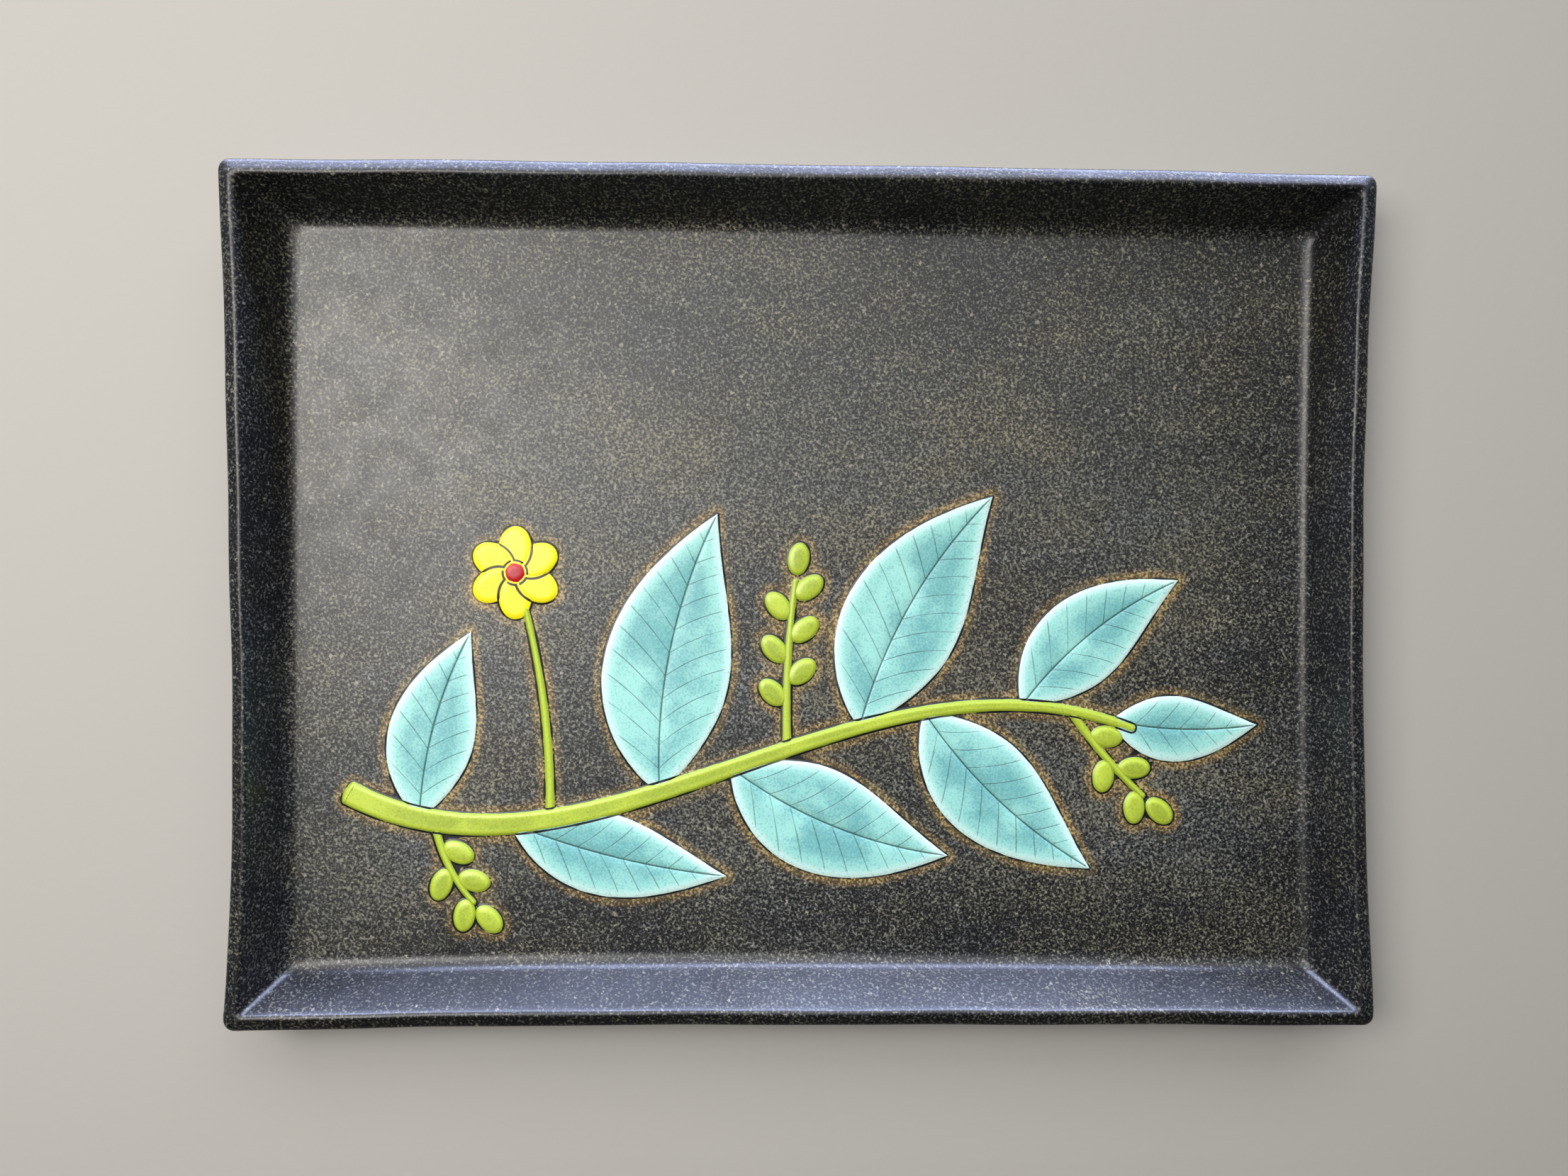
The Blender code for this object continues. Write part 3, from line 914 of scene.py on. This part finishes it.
@shared_group("Glaze flecks", {"Place": None, "Size mm": 1.0, "Cover": 0.5, "Softness": 0.3, "Seed": 0.0})
def flecks_group(graph, given):
    """Separate blobs of uneven brightness scattered over a surface. Cover is the share of them that show."""
    shifted = graph.vector("ADD", given["Place"], given["Seed"])
    scale = graph.math("DIVIDE", MM_IN_A_METRE, given["Size mm"])
    links = {"Vector": shifted, "Scale": graph.times(scale, FLECK_BEND_SCALE), "Detail": 1.0}
    wander = graph.add("ShaderNodeTexNoise", links).outputs["Color"]
    wander = graph.vector("SUBTRACT", wander, (0.5, 0.5, 0.5))
    wander = graph.vector("SCALE", wander, graph.math("DIVIDE", FLECK_BEND, scale), "Scale")
    bent = graph.vector("ADD", shifted, wander)
    cells = graph.add("ShaderNodeTexVoronoi", {"Vector": bent, "Scale": scale})
    draw = graph.add("ShaderNodeSeparateColor", {"Color": cells.outputs["Color"]}).outputs
    start = graph.math("SUBTRACT", 1.0, given["Cover"])
    shown = graph.remap(draw["Red"], start, graph.math("ADD", start, 0.12))
    level = graph.scaled(draw["Green"], FLECK_LEVELS[1], FLECK_LEVELS[0])
    reach = graph.scaled(draw["Blue"], FLECK_RADII[1], FLECK_RADII[0])
    edge = graph.math("ADD", reach, given["Softness"])
    blob = graph.remap(cells.outputs["Distance"], reach, edge, to_low=1.0, to_high=0.0)
    return [graph.times(graph.times(shown, level), blob)]


@shared_group("Glaze grain", {"Place": None, "Size mm": 1.0, "Cover": 0.5, "Softness": 0.2, "Seed": 0.0})
def grain_group(graph, given):
    """Fine mottling with few bright points and many dim ones. More cover makes all of it brighter."""
    noise = graph.noise(given["Place"], given["Size mm"], detail=3.0, seed=given["Seed"])
    start = graph.scaled(given["Cover"], -GRAIN_RANGE, GRAIN_START)
    return [graph.remap(noise, start, graph.math("ADD", start, given["Softness"]))]


@shared_group("Glaze clouds", {"Place": None, "Size mm": 15.0, "Low": 0.35, "High": 0.65, "Seed": 0.0})
def clouds_group(graph, given):
    """Large soft patches, 0 to 1."""
    noise = graph.noise(given["Place"], given["Size mm"], detail=3.0, seed=given["Seed"])
    return [graph.remap(noise, given["Low"], given["High"])]


@shared_group(
    "Incised line",
    {"Place": None, "Distance mm": FAR_MM, "Width mm": 0.5, "Fading": 0.5, "Seed": 0.0},
    ("Line", "Strength"),
)
def incised_group(graph, given):
    """A line drawn into the clay. Distance is from its middle, and the line thins out here and there."""
    noise = graph.noise(given["Place"], size_mm=11.0, detail=2.0, seed=given["Seed"])
    missing = graph.remap(noise, low=0.36, high=0.58, to_low=1.0, to_high=0.0)
    strength = graph.math("SUBTRACT", 1.0, graph.times(given["Fading"], missing))
    half = graph.times(graph.times(given["Width mm"], 0.5), strength)
    away = graph.math("ABSOLUTE", given["Distance mm"])
    core = graph.remap(away, half, graph.math("ADD", half, LINE_SOFTNESS_MM), to_low=1.0, to_high=0.0)
    return [graph.times(core, graph.remap(strength, low=0.05, high=0.4)), strength]


@shared_group(
    "Glaze skin",
    {"Place": None, "Peel mm": 0.02, "Ripple mm": 0.10, "Roughness": 0.4, "Variation": 0.08},
    ("Height mm", "Roughness"),
)
def skin_group(graph, given):
    """The fired surface of a glaze: fine orange peel over slow ripples, and where it is duller."""
    peel = graph.times(graph.noise(given["Place"], size_mm=1.3, detail=2.0, seed=3.0), given["Peel mm"])
    ripple = graph.times(graph.noise(given["Place"], size_mm=22.0, detail=2.0, seed=4.0), given["Ripple mm"])
    dull = graph.math("SUBTRACT", graph.noise(given["Place"], size_mm=9.0, detail=3.0, seed=5.0), 0.5)
    spread = graph.times(dull, given["Variation"])
    return [graph.math("ADD", peel, ripple), graph.scaled(spread, 2.0, given["Roughness"])]


def new_glaze(name):
    """A material with its graph. The graph's place, by which its patterns are drawn, is turned so that none
    of them lines up with the floor."""
    material = bpy.data.materials.new(name)
    material.use_nodes = True
    material.node_tree.nodes.clear()
    graph = Graph(material.node_tree)
    place = graph.add("ShaderNodeTexCoord").outputs["Object"]
    turned = graph.add("ShaderNodeMapping", {"Vector": place, "Rotation": GRAIN_TURN})
    graph.place = turned.outputs[0]
    return material, graph


def finish_glaze(material, graph, colour, roughness, height_mm, ior=1.5):
    """Puts the shader at the end of a glaze's graph."""
    relief = graph.add("ShaderNodeBump", {"Height": height_mm, "Distance": MM, "Strength": 1.0})
    shader = graph.add(
        "ShaderNodeBsdfPrincipled",
        {"Base Color": colour, "Roughness": roughness, "Normal": relief.outputs["Normal"], "IOR": ior},
    )
    graph.add("ShaderNodeOutputMaterial", {"Surface": shader.outputs["BSDF"]})
    return material


def dark_glaze(look, shape):
    """Near-black satin glaze, thick with tan and grey grain that turns warm beside the branch and thins out
    on the walls, over bare clay that shows at the foot."""
    material, graph = new_glaze("dark_glaze")
    design = graph.attribute("design_mm")
    inset = graph.attribute("inset_mm")
    straight = graph.add("ShaderNodeTexCoord").outputs["Object"]
    drawn_out = graph.add("ShaderNodeMapping", {"Vector": straight, "Scale": DRAWN_OUT}).outputs[0]
    patches = graph.mask(clouds_group(), place=drawn_out, size_mm=PATCH_MM, low=0.3, high=0.7)
    drifts = graph.mask(clouds_group(), place=drawn_out, size_mm=DRIFT_MM, low=0.32, high=0.68, seed=1.0)
    streaks = graph.mask(clouds_group(), size_mm=STREAK_MM, low=0.34, high=0.6, seed=2.0)
    warm = graph.times(graph.remap(design, *WARM_BAND), streaks)
    # The walls' mask thins the grain on the walls, darkening them: partly thinner glaze, partly painted
    # shade
    walls = graph.remap(inset, *WALL_THIN_GLAZE_AND_SHADE_BAND)

    cover = graph.scaled(patches, PATCH_COVER, graph.scaled(drifts, DRIFT_COVER, COVER))
    # Less grain near the folds and on the walls darkens them: partly thinner glaze, partly painted shade
    cover = graph.scaled(graph.remap(inset, *FOLD_THIN_GLAZE_AND_SHADE_BAND), FOLD_THIN_GLAZE_AND_SHADE_COVER, cover)
    cover = graph.scaled(walls, WALL_THIN_GLAZE_AND_SHADE_COVER, cover)
    haze = graph.mask(grain_group(), size_mm=HAZE_MM, cover=cover, softness=0.42, seed=11.0)
    grain = graph.mask(grain_group(), size_mm=GRAIN_MM, cover=cover, softness=0.30, seed=6.0)
    flecks = graph.mask(
        flecks_group(), size_mm=FLECK_MM, cover=graph.times(cover, 0.5), softness=0.14, seed=7.0
    )
    tone = graph.mix(warm, graph.mix(patches, look.dark_mottle, look.warm_mottle), look.warm_fleck)
    bright = graph.mix(warm, look.fleck, look.warm_fleck)
    colour = graph.mix(warm, look.dark, look.warm_dark)
    # The walls' shares darken the grain on the walls: partly thinner glaze, partly painted shade
    layers = ((haze, HAZE_SHARES, tone), (grain, GRAIN_SHARES, tone), (flecks, FLECK_SHARES, bright))
    for mask, (share, on_walls), paint in layers:
        colour = graph.mix(graph.times(mask, graph.scaled(walls, on_walls, share)), colour, paint)

    edge = graph.use(incised_group(), distance_mm=design, width_mm=1.15, fading=0.9, seed=8.0)
    fringe = graph.times(graph.remap(design, *FRINGE_BAND), graph.scaled(edge["Strength"], -0.5, 1.0))
    fringe = graph.times(fringe, graph.scaled(grain, 0.9, 0.15))
    colour = graph.mix(fringe, colour, look.ochre)
    colour = graph.mix(edge["Line"], colour, look.line)

    line_mm = shape.glaze_line / MM
    wander = graph.noise(graph.place, END_WANDER_MM, detail=3.0, seed=9.0)
    ragged = graph.scaled(wander, END_WANDER_HEIGHT, graph.attribute("foot_mm"))
    bare = graph.remap(ragged, *(line_mm + above for above in BARE_BAND))
    grog = graph.mask(flecks_group(), size_mm=GROG_MM, cover=0.35, softness=0.3, seed=10.0)
    clay = graph.mix(graph.times(grog, 0.5), look.clay, look.warm_dark)
    colour = graph.mix(bare, colour, clay)

    skin = graph.use(
        skin_group(), peel_mm=0.05, ripple_mm=0.12, roughness=look.dark_roughness, variation=0.1
    )
    roughness = graph.math("MULTIPLY_ADD", bare, BARE_ROUGHER, skin["Roughness"], clamp=True)
    height = graph.scaled(grain, DARK_GRAIN_HEIGHT, skin["Height mm"])
    height = graph.scaled(edge["Line"], DARK_LINE_HEIGHT, height)
    return finish_glaze(material, graph, colour, roughness, height, look.dark_ior)


def drawn_veins(graph, inside):
    """A leaf's midrib and the side veins that sweep out from it."""
    along = graph.attribute("along_mm")
    across = graph.math("ABSOLUTE", graph.attribute("across_mm"))
    midrib = graph.use(incised_group(), distance_mm=across, width_mm=0.35, fading=0.3)["Line"]
    swept = graph.scaled(across, VEIN_SLOPE, along)
    swept = graph.scaled(graph.times(across, across), VEIN_CURVE, swept)
    away = graph.math("PINGPONG", swept, VEIN_HALF_GAP_MM)
    side = graph.use(incised_group(), distance_mm=away, width_mm=0.3, fading=0.7, seed=3.0)
    clear = graph.times(graph.remap(inside, 1.2, 3.0), graph.remap(along, 5.0, 10.0))
    drawn = graph.math("MAXIMUM", graph.times(graph.times(side["Line"], clear), SIDE_VEINS), midrib)
    return graph.times(drawn, graph.remap(inside, 0.3, 1.0))


def bright_glaze(name, look, edge, body, deep, depths, cover, veins=False):
    """A coloured glaze, paler or darker beside its outline and grained in its middle. Depths are the
    millimetres from the outline at which the body colour starts and at which the grain is fullest, and
    cover is how much grain the middle has."""
    material, graph = new_glaze(name)
    inside = graph.attribute("edge_mm")
    colour = graph.mix(graph.remap(inside, 0.2, depths[0]), edge, body)
    patches = graph.mask(clouds_group(), size_mm=PATCH_MM, low=0.3, high=0.6, seed=1.0)
    middle = graph.times(graph.remap(inside, depths[0] * 0.5, depths[1]), patches)
    grain = graph.mask(
        grain_group(), size_mm=BRIGHT_GRAIN_MM, cover=graph.scaled(middle, cover, 0.32),
        softness=0.34, seed=2.0,
    )
    colour = graph.mix(graph.times(middle, DEEP_MIDDLE), colour, deep)
    colour = graph.mix(graph.times(grain, DEEP_GRAIN), colour, deep)

    speckle = graph.mask(grain_group(), size_mm=GRAIN_MM, cover=0.5, softness=0.30, seed=6.0)
    outside = graph.remap(inside, 0.10, -0.05)
    colour = graph.mix(outside, colour, graph.mix(speckle, look.warm_dark, look.ochre))
    skin = graph.use(
        skin_group(), peel_mm=0.02, ripple_mm=0.08, roughness=look.bright_roughness,
        variation=0.06,
    )
    rim = graph.use(
        incised_group(), distance_mm=graph.math("ADD", inside, 0.28), width_mm=0.62, fading=0.9,
        seed=8.0,
    )
    join = graph.use(
        incised_group(), distance_mm=graph.attribute("join_mm"), width_mm=0.7, fading=0.3,
        seed=8.0,
    )
    line = graph.math("MAXIMUM", rim["Line"], join["Line"])
    cut = line
    if veins:
        drawn = drawn_veins(graph, inside)
        colour = graph.mix(graph.times(drawn, VEIN_COLOUR), colour, look.line)
        cut = graph.math("MAXIMUM", line, drawn)
    colour = graph.mix(line, colour, look.line)
    height = graph.scaled(cut, BRIGHT_LINE_HEIGHT, skin["Height mm"])
    height = graph.scaled(grain, BRIGHT_GRAIN_HEIGHT, height)
    return finish_glaze(material, graph, colour, skin["Roughness"], height)


def lime_glaze(look):
    if "lime_glaze" in bpy.data.materials:
        return bpy.data.materials["lime_glaze"]
    return bright_glaze("lime_glaze", look, look.lime_edge, look.lime, look.lime_deep, (1.4, 3.0), 0.34)


class TRAY_OT_body(bpy.types.Operator):
    """Makes the tray's floor, walls and lip in dark glaze"""

    bl_idname = "tray.body"
    bl_label = "Tray Body"

    def execute(self, context):
        scene = context.scene
        branch = scene.tray_branch
        pads = [stem_pad(branch), *leaf_pads(branch)]
        for stalk_pad, berries in spray_pads(branch):
            pads += [stalk_pad, *berries]
        stalk_pad, petals, centre = blossom_pads(branch)
        pads += [stalk_pad, *petals, centre]
        mesh = tray_mesh(scene.tray_shape, [outline(pad) for pad in pads])
        body = add_piece("tray_body", mesh, dark_glaze(scene.tray_look, scene.tray_shape))
        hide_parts("tray")
        return {"FINISHED"}


class TRAY_OT_stem(bpy.types.Operator):
    """Makes the stem and its stalks in lime glaze"""

    bl_idname = "tray.stem"
    bl_label = "Stem and Stalks"

    def execute(self, context):
        scene = context.scene
        material = lime_glaze(scene.tray_look)
        stem = stem_pad(scene.tray_branch)
        stalks = [pad for pad, _ in spray_pads(scene.tray_branch)] + [blossom_pads(scene.tray_branch)[0]]
        add_relief("stem", [(stem, [])], material)
        for number, pad in enumerate(stalks, 1):
            add_relief(f"stalk_{number}", [(pad, [outline(stem)])], material)
        return {"FINISHED"}


class TRAY_OT_leaves(bpy.types.Operator):
    """Makes the leaves in turquoise glaze with drawn veins"""

    bl_idname = "tray.leaves"
    bl_label = "Leaves"

    def execute(self, context):
        scene = context.scene
        look = scene.tray_look
        material = bright_glaze(
            "turquoise_glaze", look, look.turquoise_edge, look.turquoise, look.turquoise_deep, (4.0, 9.0),
            0.42, veins=True,
        )
        over = [outline(stem_pad(scene.tray_branch))]
        for number, pad in enumerate(leaf_pads(scene.tray_branch), 1):
            add_relief(f"leaf_{number}", [(pad, over)], material)
        return {"FINISHED"}


class TRAY_OT_berries(bpy.types.Operator):
    """Makes the berries of each spray in lime glaze"""

    bl_idname = "tray.berries"
    bl_label = "Berries"

    def execute(self, context):
        scene = context.scene
        for number, (_, berries) in enumerate(spray_pads(scene.tray_branch), 1):
            pads = [(berry, []) for berry in berries]
            add_relief(f"berries_{number}", pads, lime_glaze(scene.tray_look))
        return {"FINISHED"}


class TRAY_OT_blossom(bpy.types.Operator):
    """Makes the blossom's petals in yellow glaze and its centre in red glaze"""

    bl_idname = "tray.blossom"
    bl_label = "Blossom"

    def execute(self, context):
        scene = context.scene
        look = scene.tray_look
        _, petals, centre = blossom_pads(scene.tray_branch)
        outlines = [outline(petal) for petal in petals]
        pads = [
            (petal, [outlines[(number + 1) % len(petals)], outline(centre)])
            for number, petal in enumerate(petals)
        ]
        yellow = bright_glaze(
            "yellow_glaze", look, look.yellow, look.yellow, look.yellow_deep, (1.0, 4.0), 0.2
        )
        add_relief("petals", pads, yellow)
        red = bright_glaze("red_glaze", look, look.red_deep, look.red, look.red_deep, (1.4, 3.0), 0.2)
        add_relief("blossom_centre", [(centre, [])], red)
        return {"FINISHED"}


def add_panel_light(name, place, size, radiance, colour):
    """A flat soft light of that size in metres, aimed at the tray."""
    data = bpy.data.lights.new(name, "AREA")
    data.shape = "RECTANGLE"
    data.size, data.size_y = size
    data.energy = radiance * math.pi * size[0] * size[1]
    data.color = colour
    light = bpy.data.objects.new(name, data)
    light.location = place
    light.rotation_euler = (-Vector(place)).to_track_quat("-Z", "Y").to_euler()
    light.visible_camera = False
    bpy.context.scene.collection.objects.link(light)
    return light


def add_ground(colour):
    """The pale matt floor of the stage."""
    mesh = bpy.data.meshes.new("ground")
    signs = ((-1, -1), (1, -1), (1, 1), (-1, 1))
    corners = [(x * GROUND_HALF, y * GROUND_HALF, -GROUND_DROP) for x, y in signs]
    mesh.from_pydata(corners, [], [(0, 1, 2, 3)])
    ground = bpy.data.objects.new("ground", mesh)
    bpy.context.scene.collection.objects.link(ground)
    material, graph = new_glaze("ground")
    height = graph.times(graph.noise(graph.place, size_mm=3.0, detail=2.0), GROUND_RELIEF_MM)
    mesh.materials.append(finish_glaze(material, graph, colour, 0.9, height))
    return ground


class TRAY_OT_stage(bpy.types.Operator):
    """Makes the pale floor, the soft lights and the camera"""

    bl_idname = "tray.stage"
    bl_label = "Stage"

    def execute(self, context):
        scene = context.scene
        setup = scene.tray_stage
        ground = add_ground(setup.ground)
        world = bpy.data.worlds.new("even_light")
        world.use_nodes = True
        world.node_tree.nodes["Background"].inputs["Color"].default_value = setup.sky
        scene.world = world
        lights = {
            name: add_panel_light(name, place, size, getattr(setup, f"{name}_radiance"), colour)
            for name, (place, size, colour) in PANELS.items()
        }
        # The strong, low window lights the tray alone, so that the ground stays even
        shaded = bpy.data.collections.new("out_of_the_window_light")
        shaded.objects.link(ground)
        shaded.collection_objects[0].light_linking.link_state = "EXCLUDE"
        lights["window"].light_linking.receiver_collection = shaded

        lens = bpy.data.cameras.new("camera")
        lens.lens = setup.lens
        lens.sensor_width = SENSOR_WIDTH_MM
        lens.sensor_fit = "HORIZONTAL"
        lens.clip_start = 0.01
        camera = bpy.data.objects.new("camera", lens)
        camera.location = setup.camera_place
        camera.rotation_euler = setup.camera_turn
        scene.collection.objects.link(camera)
        scene.camera = camera
        scene.view_settings.view_transform = "Standard"
        return {"FINISHED"}


GROUPS = {
    "tray_shape": TrayShape,
    "tray_branch": BranchShape,
    "tray_look": GlazeLook,
    "tray_stage": StageSetup,
}
OPERATORS = (TRAY_OT_body, TRAY_OT_stem, TRAY_OT_leaves, TRAY_OT_berries, TRAY_OT_blossom, TRAY_OT_stage)


class VIEW3D_PT_serving_tray(bpy.types.Panel):
    """Lists the tray's operators and their settings"""

    bl_idname = "VIEW3D_PT_serving_tray"
    bl_label = "Serving Tray"
    bl_space_type = "VIEW_3D"
    bl_region_type = "UI"
    bl_category = "Tray"

    def draw(self, context):
        for operator in OPERATORS:
            self.layout.operator(operator.bl_idname)
        for name, group in GROUPS.items():
            box = self.layout.box()
            box.label(text=group.__doc__)
            for setting in group.__annotations__:
                box.prop(getattr(context.scene, name), setting)


CLASSES = (*GROUPS.values(), *OPERATORS, VIEW3D_PT_serving_tray)


def register():
    for cls in CLASSES:
        bpy.utils.register_class(cls)
    for name, group in GROUPS.items():
        setattr(bpy.types.Scene, name, PointerProperty(type=group))


def unregister():
    for name in GROUPS:
        delattr(bpy.types.Scene, name)
    for cls in reversed(CLASSES):
        bpy.utils.unregister_class(cls)


def main():
    register()
    bpy.ops.tray.body()
    bpy.ops.tray.leaves()
    bpy.ops.tray.stem()
    bpy.ops.tray.berries()
    bpy.ops.tray.blossom()
    bpy.ops.tray.stage()


if __name__ == "__main__":
    main()
